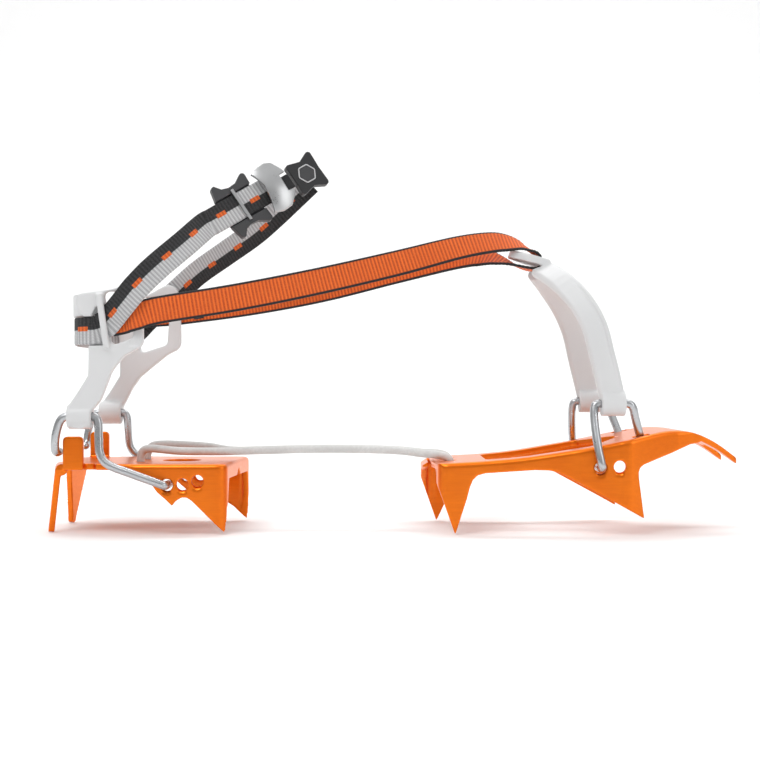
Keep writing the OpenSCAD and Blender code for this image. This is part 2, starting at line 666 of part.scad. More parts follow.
// Right strand, from its hole in the heel plate to its hole in the front frame.
// It arches clear of the heel plate; `lift` raises that arch.
function cord_route(lift) = [
    [cord_hole_x, -cord_hole_y, 27], [cord_hole_x, -cord_hole_y, 31],
    [cord_hole_x, -cord_hole_y, 34.2], [-116.4, -9.6, 37.2 + lift / 3],
    [-112, -10.8, 38 + lift * 0.6], [-100, -12.4, 37 + lift], [-88, -9.6, 36.6 + lift * 0.8],
    [-76, -4.6, 36.4], [-60, -3, 36.8], [-30, -3, 37.4], [0, -3.4, 36.8], [14, -5.6, 35.4],
    [22, -8.2, 34.8], [26, -9, 33.4], [27, -9, 31], [27, -9, 29.2]
];
module link_cord(side) {
    route = side < 0 ? cord_route(0) : flip_y(cord_route(left_cord_lift));
    color(white) bent_rod(route, cord_r, [0.3, 1, 0.2], 4, 8);
}
module knots(x) {
    for (side = [-1, 1]) translate([x, side * cord_hole_y, 25.4]) sphere(r = 3.6);
}

heel_frame();
heel_wire();  // heel_wire_right
mirror([0, 1, 0]) heel_wire();  // heel_wire_left
heel_bail();
heel_wrap_strap();
ankle_strap_right();
ankle_strap_left();
ankle_slider();
slider_bar();
buckle_plate();
buckle_bar();
tab_neck();
pull_tab();
tab_badge();
tether_right();
tether_left();
tether_tack(-1);  // tether_tack_right
tether_tack(1);  // tether_tack_left
front_frame();
toe_wire();  // toe_wire_right
mirror([0, 1, 0]) toe_wire();  // toe_wire_left
toe_bail();
link_cord(-1);  // link_cord_right
link_cord(1);  // link_cord_left
color(white) knots(cord_hole_x);  // heel_knots
color(white) knots(front_cord_hole_x);  // front_knots
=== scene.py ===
import math

import bmesh
import bpy
import numpy as np
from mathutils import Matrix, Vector


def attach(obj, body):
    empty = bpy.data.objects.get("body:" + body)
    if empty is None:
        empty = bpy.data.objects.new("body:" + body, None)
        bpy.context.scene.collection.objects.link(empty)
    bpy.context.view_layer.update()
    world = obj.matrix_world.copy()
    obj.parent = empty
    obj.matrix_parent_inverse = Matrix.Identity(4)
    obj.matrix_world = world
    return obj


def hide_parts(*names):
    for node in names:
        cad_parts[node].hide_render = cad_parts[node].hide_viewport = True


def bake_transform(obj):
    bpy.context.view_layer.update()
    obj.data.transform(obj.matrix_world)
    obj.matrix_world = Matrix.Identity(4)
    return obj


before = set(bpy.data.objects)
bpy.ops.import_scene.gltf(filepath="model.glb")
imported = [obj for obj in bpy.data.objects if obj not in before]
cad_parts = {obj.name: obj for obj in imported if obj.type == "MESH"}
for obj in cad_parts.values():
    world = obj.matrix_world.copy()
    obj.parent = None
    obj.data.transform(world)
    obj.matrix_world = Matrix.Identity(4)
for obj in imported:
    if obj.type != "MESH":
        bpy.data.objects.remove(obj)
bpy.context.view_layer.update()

MM = 0.001                      # every size below is in millimetres
TAU = 2 * math.pi

# Sizes shared with the CAD model
WIRE_R = 1.9
WEB_W = 12.4
WEB_T = 1.4
CORD_R = 1.9
CORD_HOLE_X, CORD_HOLE_Y = -118.0, 9.0
FRONT_CORD_X = 27.0
RIB_PITCH = 1.7                 # ribs across all the webbing
RIB_DEPTH = 0.22                # of the webbing's thickness
MARK_PITCH = 18.0               # orange marks along the ankle webbing

# ---- Camera, first of all -----------------------------------------------------

CAMERA_AT = (-6.0, -627.0, 70.0)
SENSOR_WIDTH = 36.0
FOCAL_RATIO = 33 / 19           # focal length over sensor width


def make_camera():
    data = bpy.data.cameras.new("camera")
    data.sensor_width = SENSOR_WIDTH
    data.lens = SENSOR_WIDTH * FOCAL_RATIO
    data.clip_start = 0.01
    camera = bpy.data.objects.new("camera", data)
    camera.location = Vector(CAMERA_AT) * MM
    camera.rotation_euler = (math.radians(90), 0, 0)
    bpy.context.scene.collection.objects.link(camera)
    bpy.context.scene.camera = camera


make_camera()

# ---- Curves and sweeps ----------------------------------------------------------


def unit(v):
    """The vector at length 1."""
    v = np.asarray(v, float)
    return v / np.linalg.norm(v)


def units(vectors):
    """Each row of a list of vectors, at length 1."""
    return vectors / np.linalg.norm(vectors, axis=1)[:, None]


def smooth(points, steps):
    """Catmull-Rom curve through the points, with `steps` pieces in each stretch."""
    p = np.asarray(points, float)
    n = len(p) - 1
    out = []
    for i in range(n):
        a = p[i - 1] if i > 0 else 2 * p[0] - p[1]
        b, c = p[i], p[i + 1]
        d = p[i + 2] if i + 2 <= n else 2 * p[n] - p[n - 1]
        for k in range(steps):
            t = k / steps
            out.append(0.5 * (2 * b + (c - a) * t + (2 * a - 5 * b + 4 * c - d) * t ** 2
                              + (3 * b - a - 3 * c + d) * t ** 3))
    out.append(p[n])
    return np.array(out)


def resample(points, others, step):
    """The polyline at even steps of length, with the values in `others` carried along."""
    points = np.asarray(points, float)
    length = np.concatenate([[0], np.cumsum(np.linalg.norm(np.diff(points, axis=0), axis=1))])
    count = max(2, int(round(length[-1] / step)) + 1)
    at = np.linspace(0, length[-1], count)

    def pick(values):
        values = np.asarray(values, float)
        return np.stack([np.interp(at, length, values[:, k]) for k in range(values.shape[1])], 1)

    return pick(points), [pick(o) for o in others], at


def frames_along(points, widths):
    """Unit vectors across the route (near `widths`) and out of its face."""
    t = units(np.gradient(np.asarray(points, float), axis=0))
    w = np.asarray(widths, float)
    u = units(w - (w * t).sum(1)[:, None] * t)
    return u, np.cross(t, u)


def carried_frames(points, first):
    """Frames along the route that turn no more than the route does."""
    t = units(np.gradient(np.asarray(points, float), axis=0))
    u = np.zeros_like(t)
    w = np.asarray(first, float)
    for i in range(len(t)):
        w = unit(w - (w @ t[i]) * t[i])
        u[i] = w
    return u, np.cross(t, u)


def make_mesh(name, verts, faces, material):
    """Mesh object from vertices in millimetres."""
    mesh = bpy.data.meshes.new(name)
    mesh.from_pydata([tuple(v) for v in np.asarray(verts, float) * MM], [], faces)
    mesh.validate()
    mesh.update()
    obj = bpy.data.objects.new(name, mesh)
    bpy.context.scene.collection.objects.link(obj)
    if material:
        mesh.materials.append(material)
    for polygon in mesh.polygons:
        polygon.use_smooth = True
    return obj


def ring_faces(rings, size, closed=False):
    """Faces between neighbouring rings of `size` points, with end caps unless closed."""
    faces = []
    for i in range(rings if closed else rings - 1):
        a, b = i * size, ((i + 1) % rings) * size
        faces += [(a + j, a + (j + 1) % size, b + (j + 1) % size, b + j) for j in range(size)]
    if not closed:
        faces.append(tuple(range(size - 1, -1, -1)))
        faces.append(tuple((rings - 1) * size + j for j in range(size)))
    return faces


def swept(name, points, u, v, section, material):
    """Solid whose ring i is the points section[i] (or one section) in the axes u, v."""
    n = len(points)
    section = np.asarray(section, float)
    if section.ndim == 2:
        section = np.repeat(section[None], n, 0)
    size = section.shape[1]
    verts = (np.asarray(points)[:, None] + section[:, :, :1] * u[:, None]
             + section[:, :, 1:2] * v[:, None]).reshape(-1, 3)
    return make_mesh(name, verts, ring_faces(n, size), material)


def closed_tube(name, ring, u, v, radius, sides, material):
    """Thin round tube along a closed ring, with the axes u and v at each point."""
    section = circle(radius, sides)
    verts = (ring[:, None] + section[None, :, :1] * u[:, None]
             + section[None, :, 1:2] * v[:, None]).reshape(-1, 3)
    return make_mesh(name, verts, ring_faces(len(ring), sides, True), material)


def ring_tangents(ring):
    """Directions along a closed ring."""
    return units(np.roll(ring, -1, 0) - np.roll(ring, 1, 0))


def circle(radius, sides):
    """Points of a regular polygon in two axes."""
    a = np.arange(sides) * TAU / sides
    return np.stack([np.cos(a), np.sin(a)], 1) * radius


def rounded_ends(points, radius):
    """The route with extra points, and radius factors, that dome a rod's two ends."""
    p = np.asarray(points, float)
    t0, t1 = unit(p[0] - p[1]), unit(p[-1] - p[-2])
    a = np.linspace(0, math.radians(80), 5)[1:]
    start = [p[0] + t0 * radius * math.sin(k) for k in a[::-1]]
    end = [p[-1] + t1 * radius * math.sin(k) for k in a]
    factor = [math.cos(k) for k in a[::-1]] + [1] * len(p) + [math.cos(k) for k in a]
    return np.array(start + list(p) + end), np.array(factor)


def rod(name, route, radius, material):
    """Round rod along a smooth route, with domed ends."""
    p, factor = rounded_ends(smooth(route, 8), radius)
    u, v = carried_frames(p, (0, 0.3, 1))
    section = circle(radius, 20)[None] * factor[:, None, None]
    return swept(name, p, u, v, section, material)


def flip_y(points):
    """The points on the other side of the crampon's middle plane."""
    return [(x, -y, z) for x, y, z in points]


def join(objects, name):
    """One object made of all of them."""
    bpy.ops.object.select_all(action="DESELECT")
    for o in objects:
        o.select_set(True)
    bpy.context.view_layer.objects.active = objects[0]
    bpy.ops.object.join()
    objects[0].name = name
    objects[0].data.name = name
    return objects[0]


def apply_modifiers(obj):
    depsgraph = bpy.context.evaluated_depsgraph_get()
    mesh = bpy.data.meshes.new_from_object(obj.evaluated_get(depsgraph))
    obj.modifiers.clear()
    obj.data = mesh
    return obj


def remeshed(obj, voxel, smoothing, target=None):
    """Fuses overlapping solids into one skin and rounds it, with about `target` faces."""
    mod = obj.modifiers.new("remesh", "REMESH")
    mod.mode = "VOXEL"
    mod.voxel_size = voxel * MM
    mod.use_smooth_shade = True
    mod = obj.modifiers.new("smooth", "SMOOTH")
    mod.factor = 0.5
    mod.iterations = smoothing
    apply_modifiers(obj)
    if target:
        mod = obj.modifiers.new("decimate", "DECIMATE")
        mod.ratio = min(1.0, target / max(1, len(obj.data.polygons)))
        apply_modifiers(obj)
    for polygon in obj.data.polygons:
        polygon.use_smooth = True
    return obj


# ---- Materials --------------------------------------------------------------------


class Shader:
    """A material with a Principled shader, and short calls that add nodes to it."""

    def __init__(self, name):
        self.material = bpy.data.materials.new(name)
        self.material.use_nodes = True
        self.tree = self.material.node_tree
        self.bsdf = self.tree.nodes["Principled BSDF"]

    def set(self, **sockets):
        for key, value in sockets.items():
            self.bsdf.inputs[key.replace("_", " ")].default_value = value
        return self

    def node(self, kind, **properties):
        node = self.tree.nodes.new(kind)
        for key, value in properties.items():
            setattr(node, key, value)
        return node

    def link(self, output, target):
        self.tree.links.new(output, target)

    def feed(self, node, index, value):
        """Gives an input another node's output, or a plain value."""
        if hasattr(value, "links"):
            self.link(value, node.inputs[index])
        else:
            node.inputs[index].default_value = value

    def place(self, scale=(1, 1, 1)):
        """Object coordinates, stretched by the scale."""
        coord = self.node("ShaderNodeTexCoord")
        mapping = self.node("ShaderNodeMapping")
        mapping.inputs["Scale"].default_value = scale
        self.link(coord.outputs["Object"], mapping.inputs["Vector"])
        return mapping.outputs["Vector"]

    def noise(self, scale, detail=3.0, where=None, rough=0.5):
        node = self.node("ShaderNodeTexNoise")
        node.inputs["Scale"].default_value = scale
        node.inputs["Detail"].default_value = detail
        node.inputs["Roughness"].default_value = rough
        self.link(where or self.place(), node.inputs["Vector"])
        return node.outputs["Fac"]

    def math(self, operation, a, b=0.0):
        node = self.node("ShaderNodeMath", operation=operation)
        self.feed(node, 0, a)
        self.feed(node, 1, b)
        return node.outputs[0]

    def band(self, value, low, high):
        """1 between low and high, with a soft step on both sides, 0 elsewhere."""
        centre, half = (low + high) / 2, (high - low) / 2
        away = self.math("ABSOLUTE", self.math("SUBTRACT", value, centre))
        return self.remap(away, half * 0.94, half * 1.06, 1.0, 0.0)

    def remap(self, value, a, b, c, d):
        """The value, with a to b stretched to c to d."""
        node = self.node("ShaderNodeMapRange")
        for k, x in enumerate((value, a, b, c, d)):
            self.feed(node, k, x)
        return node.outputs[0]

    def mix(self, factor, a, b):
        node = self.node("ShaderNodeMix", data_type="RGBA")
        self.feed(node, 0, factor)
        for index, value in ((6, a), (7, b)):        # the two colour inputs
            self.feed(node, index, value if hasattr(value, "links") else (*value, 1.0))
        return node.outputs[2]

    def bump(self, height, strength, distance):
        node = self.node("ShaderNodeBump")
        node.inputs["Strength"].default_value = strength
        node.inputs["Distance"].default_value = distance * MM
        self.link(height, node.inputs["Height"])
        self.link(node.outputs[0], self.bsdf.inputs["Normal"])

    def web(self):
        """Length along a strap in millimetres, and place across it from -1 to 1."""
        node = self.node("ShaderNodeAttribute", attribute_name="web")
        split = self.node("ShaderNodeSeparateXYZ")
        self.link(node.outputs["Vector"], split.inputs[0])
        return split.outputs[0], split.outputs[1]

    def to(self, **sockets):
        for key, value in sockets.items():
            self.link(value, self.bsdf.inputs[key.replace("_", " ")])
        return self


def anodised_orange():
    s = Shader("anodised_orange").set(Metallic=0.92, Roughness=0.3, Coat_Weight=0.2,
                                      Coat_Roughness=0.15)
    cloud = s.noise(45, 4)
    streak = s.noise(60, 5, s.place((1, 14, 14)), 0.65)
    grain = s.noise(2600, 2)
    tone = s.mix(cloud, (0.80, 0.150, 0.004), (0.92, 0.215, 0.007))
    s.to(Base_Color=s.mix(s.remap(streak, 0.35, 0.75, 0.0, 0.22), tone, (0.55, 0.085, 0.003)))
    s.to(Roughness=s.remap(s.math("ADD", s.math("MULTIPLY", streak, 0.6), s.math("MULTIPLY", grain, 0.4)),
                           0.2, 0.8, 0.24, 0.42))
    s.bump(grain, 0.12, 0.06)
    return s.material


def wire_steel():
    s = Shader("wire_steel").set(Metallic=1.0)
    drawn = s.noise(300, 4, rough=0.6)
    cloud = s.noise(70, 3)
    s.to(Base_Color=s.mix(cloud, (0.40, 0.415, 0.43), (0.56, 0.57, 0.585)))
    s.to(Roughness=s.remap(drawn, 0.2, 0.8, 0.24, 0.33))
    s.bump(drawn, 0.08, 0.04)
    return s.material


def white_plastic():
    s = Shader("white_plastic").set(Coat_Weight=0.08, Coat_Roughness=0.3)
    cloud = s.noise(30, 3)
    grain = s.noise(1400, 3)
    s.to(Base_Color=s.mix(cloud, (0.61, 0.615, 0.62), (0.675, 0.68, 0.685)))
    s.to(Roughness=s.remap(grain, 0.2, 0.8, 0.36, 0.5))
    s.bump(grain, 0.1, 0.05)
    return s.material


def tether_orange():
    s = Shader("tether_webbing").set(Sheen_Weight=0.08, Sheen_Roughness=0.5, Roughness=0.82)
    along, across = s.web()
    rib = s.math("SINE", s.math("MULTIPLY", along, TAU / RIB_PITCH))
    thread = s.math("SINE", s.math("MULTIPLY", across, TAU * 11))
    fuzz = s.noise(1800, 3)
    patch = s.noise(90, 3)
    # Painted shade: the orange is darker in the rib valleys and lighter on the rib crests, in step with the
    # ribs' relief.
    tone = s.mix(s.remap(rib, -1, 1, 0, 1), (0.42, 0.05, 0.004), (0.84, 0.145, 0.012))
    tone = s.mix(s.remap(patch, 0.3, 0.7, 0.0, 0.3), tone, (0.58, 0.08, 0.006))
    tone = s.mix(s.remap(fuzz, 0.45, 0.8, 0.0, 0.35), tone, (0.92, 0.24, 0.04))
    edge = s.remap(s.math("ABSOLUTE", across), 0.80, 0.85, 0.0, 1.0)
    s.to(Base_Color=s.mix(edge, tone, (0.012, 0.012, 0.013)))
    s.bump(s.math("ADD", s.math("MULTIPLY", thread, 0.4), s.math("MULTIPLY", fuzz, 0.9)), 0.5, 0.16)
    return s.material


def ankle_webbing():
    s = Shader("ankle_webbing").set(Sheen_Weight=0.06, Sheen_Roughness=0.5, Roughness=0.85)
    along, across = s.web()
    rib = s.math("SINE", s.math("MULTIPLY", along, TAU / RIB_PITCH))
    thread = s.math("SINE", s.math("ADD", s.math("MULTIPLY", across, TAU * 9),
                                   s.math("MULTIPLY", rib, 1.6)))
    fuzz = s.noise(1700, 3)
    # Painted shade: weave darkens the rib valleys and lightens the crests, in step with the ribs' relief,
    # times a zigzag across the threads; it tones the grey half, the black half and the orange marks.
    weave = s.math("MULTIPLY", s.remap(rib, -1, 1, 0.35, 1), s.remap(thread, -1, 1, 0.55, 1))
    grey = s.mix(weave, (0.22, 0.22, 0.225), (0.66, 0.66, 0.67))
    black = s.mix(weave, (0.002, 0.002, 0.002), (0.036, 0.036, 0.038))
    is_black = s.remap(across, 0.02, 0.08, 0.0, 1.0)
    tone = s.mix(is_black, grey, black)
    phase = s.math("FRACT", s.math("DIVIDE", along, MARK_PITCH))
    mark = s.math("MULTIPLY", s.band(phase, 0.32, 0.60), s.band(across, -0.04, 0.30))
    tone = s.mix(mark, tone, s.mix(weave, (0.35, 0.05, 0.006), (0.90, 0.16, 0.02)))
    s.to(Base_Color=s.mix(s.remap(fuzz, 0.5, 0.8, 0, 0.06), tone, (0.5, 0.5, 0.5)))
    s.bump(s.math("ADD", s.math("MULTIPLY", thread, 0.5), s.math("MULTIPLY", fuzz, 0.9)), 0.5, 0.16)
    return s.material


def black_fabric():
    s = Shader("black_fabric").set(Sheen_Weight=0.06, Roughness=0.85)
    weave = s.noise(1500, 4)
    s.to(Base_Color=s.mix(weave, (0.008, 0.008, 0.009), (0.04, 0.04, 0.042)))
    s.bump(weave, 0.5, 0.15)
    return s.material


def moulded(name, dark, light, rough_low, rough_high):
    s = Shader(name)
    grain = s.noise(1600, 3)
    cloud = s.noise(60, 3)
    s.to(Base_Color=s.mix(cloud, dark, light))
    s.to(Roughness=s.remap(grain, 0.25, 0.75, rough_low, rough_high))
    s.bump(grain, 0.22, 0.07)
    return s.material


def buckle_metal():
    s = Shader("buckle_metal").set(Metallic=1.0)
    cloud = s.noise(160, 5)
    fine = s.noise(1400, 3)
    s.to(Base_Color=s.mix(cloud, (0.42, 0.425, 0.43), (0.52, 0.525, 0.53)))
    s.to(Roughness=s.remap(s.math("ADD", s.math("MULTIPLY", cloud, 0.5), s.math("MULTIPLY", fine, 0.5)),
                           0.25, 0.75, 0.26, 0.34))
    s.bump(cloud, 0.03, 0.1)
    return s.material


def braid_white():
    s = Shader("braided_cord").set(Sheen_Weight=0.1, Roughness=0.7)
    strand = s.noise(900, 3)
    cloud = s.noise(150, 3)
    s.to(Base_Color=s.mix(s.math("MULTIPLY", strand, cloud), (0.54, 0.54, 0.53), (0.84, 0.84, 0.83)))
    s.bump(strand, 0.35, 0.12)
    return s.material


ORANGE = anodised_orange()
STEEL = wire_steel()
WHITE = white_plastic()
TETHER = tether_orange()
ANKLE = ankle_webbing()
BLACK_CLOTH = black_fabric()
GREY_PLASTIC = moulded("grey_plastic", (0.030, 0.030, 0.032), (0.055, 0.055, 0.058), 0.38, 0.55)
BLACK_PLASTIC = moulded("black_plastic", (0.010, 0.010, 0.011), (0.022, 0.022, 0.024), 0.35, 0.52)
LIGHT_PLASTIC = moulded("badge_rim", (0.42, 0.42, 0.43), (0.60, 0.60, 0.61), 0.35, 0.5)
METAL = buckle_metal()
BRAID = braid_white()


def settle(piece, body, slot, *nodes):
    """A rigid piece on one body, in place of the CAD nodes that are named."""
    if nodes:
        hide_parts(*nodes)
    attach(piece, body)


def spans(piece, node):
    """A piece that reaches from one body to the next, in place of the CAD node, with its placement baked
    into its mesh.
    """
    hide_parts(node)
    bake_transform(piece)


# ---- Link cord ---------------------------------------------------------------------


def cord_route(lift):
    """Right strand from the heel hole to the front hole; `lift` raises its heel end."""
    return [
        (CORD_HOLE_X, -CORD_HOLE_Y, 27), (CORD_HOLE_X, -CORD_HOLE_Y, 31),
        (CORD_HOLE_X, -CORD_HOLE_Y, 34.2), (-116.4, -9.6, 37.2 + lift / 3),
        (-112, -10.8, 38 + lift * 0.6), (-100, -12.4, 37 + lift), (-88, -9.6, 36.6 + lift * 0.8),
        (-76, -4.6, 36.4), (-60, -3, 36.8), (-30, -3, 37.4), (0, -3.4, 36.8), (14, -5.6, 35.4),
        (22, -8.2, 34.8), (26, -9, 33.4), (FRONT_CORD_X, -9, 31), (FRONT_CORD_X, -9, 29.2)]


BRAID_TURN = 9.0                # length in which a strand goes round once
BRAID_STRANDS = 8               # in each of the two families


def braided(name, route, radius, material):
    """Round braid: two families of strands that wind opposite ways."""
    p, _, at = resample(smooth(route, 12), [], 0.4)
    u, v = carried_frames(p, (0.3, 1, 0.2))
    angle = np.arange(32) * TAU / 32
    lay = TAU * at[:, None] / BRAID_TURN
    right_hand = np.sin(BRAID_STRANDS * (angle[None] + lay))
    left_hand = np.sin(BRAID_STRANDS * (angle[None] - lay))
    one = right_hand * (left_hand > 0)
    two = left_hand * (left_hand <= 0)
    r = radius * (0.93 + 0.06 * np.abs(one) + 0.06 * np.abs(two))
    rings = np.stack([r * np.cos(angle)[None], r * np.sin(angle)[None]], 2)
    return swept(name, p, u, v, rings, material), p * MM


LEFT_CORD_LIFT = 1.6

for side, lift in (("right", 0.0), ("left", LEFT_CORD_LIFT)):
    route = cord_route(lift) if side == "right" else flip_y(cord_route(lift))
    braid, line = braided(f"link_braid_{side}", route, CORD_R, BRAID)
    spans(braid,
          f"link_cord_{side}")


KNOT_Z = 25.6
KNOT_SCALE = 0.72
KNOT_CORD_R = 1.35


def stopper_knots(name, x, body, node):
    """Two small round knots of the same cord, one under each cord hole."""
    a = np.arange(120) * TAU / 120
    reach = 2 + np.cos(3 * a)
    trefoil = np.stack([reach * np.cos(2 * a), reach * np.sin(2 * a), 1.5 * np.sin(3 * a)], 1) * KNOT_SCALE
    parts = []
    for y in (-CORD_HOLE_Y, CORD_HOLE_Y):
        ring = trefoil + (x, y, KNOT_Z)
        t = ring_tangents(ring)
        u = units(trefoil - (trefoil * t).sum(1)[:, None] * t)
        parts.append(closed_tube(name, ring, u, np.cross(t, u), KNOT_CORD_R, 14, BRAID))
    settle(join(parts, name), body, "white_cord", node)


stopper_knots("heel_stoppers", CORD_HOLE_X, "heel_section", "heel_knots")
stopper_knots("front_stoppers", FRONT_CORD_X, "front_section", "front_knots")

# ---- Pressed frames ----------------------------------------------------------------

WELD = 0.002                    # vertices closer than this are one


def copied(node, material):
    """A separate, welded copy of a CAD node's mesh."""
    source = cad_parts[node]
    bm = bmesh.new()
    bm.from_mesh(source.data)
    bmesh.ops.remove_doubles(bm, verts=bm.verts, dist=WELD * MM)
    mesh = bpy.data.meshes.new(node + "_shape")
    bm.to_mesh(mesh)
    bm.free()
    obj = bpy.data.objects.new(node + "_shape", mesh)
    obj.matrix_world = source.matrix_world.copy()
    bpy.context.scene.collection.objects.link(obj)
    mesh.materials.append(material)
    return obj


def pressed(node, bend_r):
    """Sheet part with rolled bends and tumbled edges."""
    obj = copied(node, ORANGE)
    bm = bmesh.new()
    bm.from_mesh(obj.data)
    bmesh.ops.dissolve_limit(bm, angle_limit=math.radians(1.5), verts=bm.verts, edges=bm.edges)
    bends = [e for e in bm.edges if len(e.link_faces) == 2 and is_bend(e)]
    bmesh.ops.bevel(bm, geom=bends, offset=bend_r * MM, segments=5, profile=0.5, affect="EDGES",
                    clamp_overlap=False)
    bmesh.ops.triangulate(bm, faces=bm.faces)
    bm.to_mesh(obj.data)
    bm.free()
    return remeshed(obj, voxel=0.42, smoothing=3, target=60000)


def is_bend(edge):
    """Outer edges between the top face and a side flange or the heel frame's front lip."""
    a, b = (f.normal for f in edge.link_faces)
    if a.z < b.z:
        a, b = b, a
    x, y, _ = (edge.verts[0].co + edge.verts[1].co) / 2 / MM
    if not (a.z > 0.8 and abs(b.z) < 0.3 and edge.calc_face_angle_signed(0) > math.radians(60)):
        return False
    front_lip = -76 < x < -70
    heel_flange = abs(y) > 26 and -118 < x < -60
    front_rail = abs(y) > 24 and 22 < x < 146
    outward = b.y * y > 0 or (abs(b.x) > 0.7 and front_lip)
    return outward and (front_rail or heel_flange or front_lip)


settle(pressed("heel_frame", 2.0), "heel_section", "anodised_aluminium", "heel_frame")
settle(pressed("front_frame", 2.0), "front_section", "anodised_aluminium", "front_frame")

# ---- Wires -------------------------------------------------------------------------

HEEL_WIRE = [
    (-152, -26.4, 37.4), (-152.2, -30.4, 37.4), (-152.4, -32.6, 39.4), (-151.8, -33.6, 45),
    (-149.8, -34, 51.4), (-146.8, -34, 53.6), (-140.7, -34, 53.6), (-134.6, -34, 53.6),
    (-132.6, -34.2, 51), (-132.2, -34.8, 44), (-131.4, -35.6, 36.6), (-127.4, -36.6, 32),
    (-117, -37, 28), (-105.6, -37, 23.9), (-102.6, -36, 22.7), (-102.2, -33, 22.6),
    (-102.2, -26.4, 22.6),
]
TOE_WIRE = [
    (92.8, -29.6, 30.6), (92.8, -36.6, 30.6), (92.8, -40.2, 31), (92.2, -41, 33.6),
    (91, -38.9, 41), (90.2, -35.2, 51), (90.4, -33.4, 57.2), (92.2, -33, 59.4),
    (98.8, -33, 59.4), (105.4, -33, 59.4), (107.8, -32.6, 57.6), (109.2, -31, 53),
    (111.4, -28.4, 46.4), (112.8, -26.8, 42), (113, -26.6, 38),
]
for route, stem in ((HEEL_WIRE, "heel_wire"), (TOE_WIRE, "toe_wire")):
    for side, mark in (("right", "r"), ("left", "l")):
        points = route if side == "right" else flip_y(route)
        settle(rod(f"{stem}_{side}_bent", points, WIRE_R, STEEL), f"{stem}_{mark}", "steel_wire",
               f"{stem}_{side}")

# ---- Webbing -----------------------------------------------------------------------


def web_section(width, thick):
    """Outline of a strap's cut end: flat faces and round edges."""
    r = thick / 2
    out = []
    for side in (1, -1):
        a = np.linspace(-90, 90, 5) + (0 if side > 0 else 180)
        out += [(side * (width / 2 - r) + r * math.cos(math.radians(k)), r * math.sin(math.radians(k)))
                for k in a]
        inner = np.linspace(0.8, -0.8, 9) * side
        out += [(k * (width / 2 - r), side * r) for k in inner]
    return np.array(out)


def webbing(name, route, widths, material, shift=0.0, turned_tail=0.0):
    """Ribbed strap along a route; it carries its own length and width as data.

    Over `turned_tail` at its end the strap lies with its other edge up.
    """
    p, w = smooth(route, 10), smooth(widths, 10)
    p, (w,), at = resample(p, [w], RIB_PITCH / 6)
    u, v = frames_along(p, w)
    section = web_section(WEB_W, WEB_T)
    swell = 1 - RIB_DEPTH * (0.5 - 0.5 * np.sin(TAU * (at + shift) / RIB_PITCH))
    rings = np.repeat(section[None], len(p), 0).copy()
    rings[:, :, 1] *= swell[:, None]
    obj = swept(name, p, u, v, rings, material)
    data = np.zeros((len(p), len(section), 3), np.float32)
    data[:, :, 0] = (at + shift)[:, None]
    upright = np.where(at > at[-1] - turned_tail, -1, 1)
    data[:, :, 1] = upright[:, None] * section[None, :, 0] / (WEB_W / 2)
    attribute = obj.data.attributes.new("web", "FLOAT_VECTOR", "POINT")
    attribute.data.foreach_set("vector", data.ravel())
    return obj


# Straight stretch of the right ankle strap: along it, across it, out of its face
RUN_U = unit((12, 6, 8))
RUN_ACROSS = np.array((-0.56, 0, 0.83))
RUN_W = unit(RUN_ACROSS - (RUN_ACROSS @ RUN_U) * RUN_U)
RUN_V = np.cross(RUN_U, RUN_W)
SLIDER_AT = np.array((-70.9, -15, 150.7))
TAB_AT = SLIDER_AT + 35.4 * RUN_U + 1.6 * RUN_V - 3 * RUN_W

RUN_ROOT = [(-130.4, -36.9, 94), (-128.2, -36.9, 95.4), (-124.8, -37.7, 99.2),
            (-120, -40.4, 104.4)]
RUN_ROOT_W = [(-0.06, 0, 1), (-0.24, 0, 0.97), (-0.5, 0.02, 0.86), (-0.6, 0.08, 0.79)]
RUN_RIGHT = RUN_ROOT + [(-114.6, -42, 110.6), (-106, -40.4, 119.6), (-93.6, -31.8, 132)]
STRAIGHT = [tuple(SLIDER_AT + d * RUN_U) for d in range(-20, 17, 4)]
RUN_RIGHT += STRAIGHT
RUN_RIGHT_W = RUN_ROOT_W + [(-0.66, 0.08, 0.75), (-0.64, 0, 0.76), (-0.6, 0, 0.8)]
RUN_RIGHT_W += [tuple(RUN_W)] * len(STRAIGHT)
RUN_LEFT = flip_y(RUN_ROOT) + [
    (-112, 42.2, 111.8), (-98, 37, 123.4), (-83, 27.6, 132.4), (-68, 18.6, 141.4),
    (-58, 12.8, 149), (-48.6, 9.2, 157.2), (-40, 7, 165)]
RUN_LEFT_W = flip_y(RUN_ROOT_W) + [
    (-0.6, -0.08, 0.8), (-0.52, 0, 0.86), (-0.5, 0, 0.86), (-0.52, 0, 0.85),
    (-0.56, 0, 0.83), (-0.6, 0, 0.8), (-0.64, 0, 0.77)]
WRAP_RIGHT = [(-133.8, -36.9, 92.1), (-137, -36.9, 92), (-140.8, -35, 91.9),
              (-143.8, -28.6, 91.8), (-145.9, -16, 91.6), (-146.6, -5, 91.6)]
WRAP_TAIL = [(-130.8, -36.9, 92.9)]          # tucked under the bridge, over the run's root
WRAP = WRAP_TAIL + WRAP_RIGHT + flip_y(WRAP_RIGHT[::-1]) + flip_y(WRAP_TAIL)
TETHER_RIGHT = [
    (-126.2, -35.1, 95.6), (-122.4, -35.9, 96.3), (-119.2, -37, 97), (-116.4, -38.8, 97.8),
    (-113, -39.5, 98.8), (-104, -40, 101.2), (-70, -36.6, 107), (-34, -26, 115),
    (2, -14.6, 124.2), (30, -8.8, 131.8), (45.7, -5.4, 134.7), (54, -3, 135),
    (60, -1.2, 134.2), (65.1, 0, 131.6), (68.3, 0, 129.7), (69.7, 0, 127.8), (69.5, 0, 126.4)]
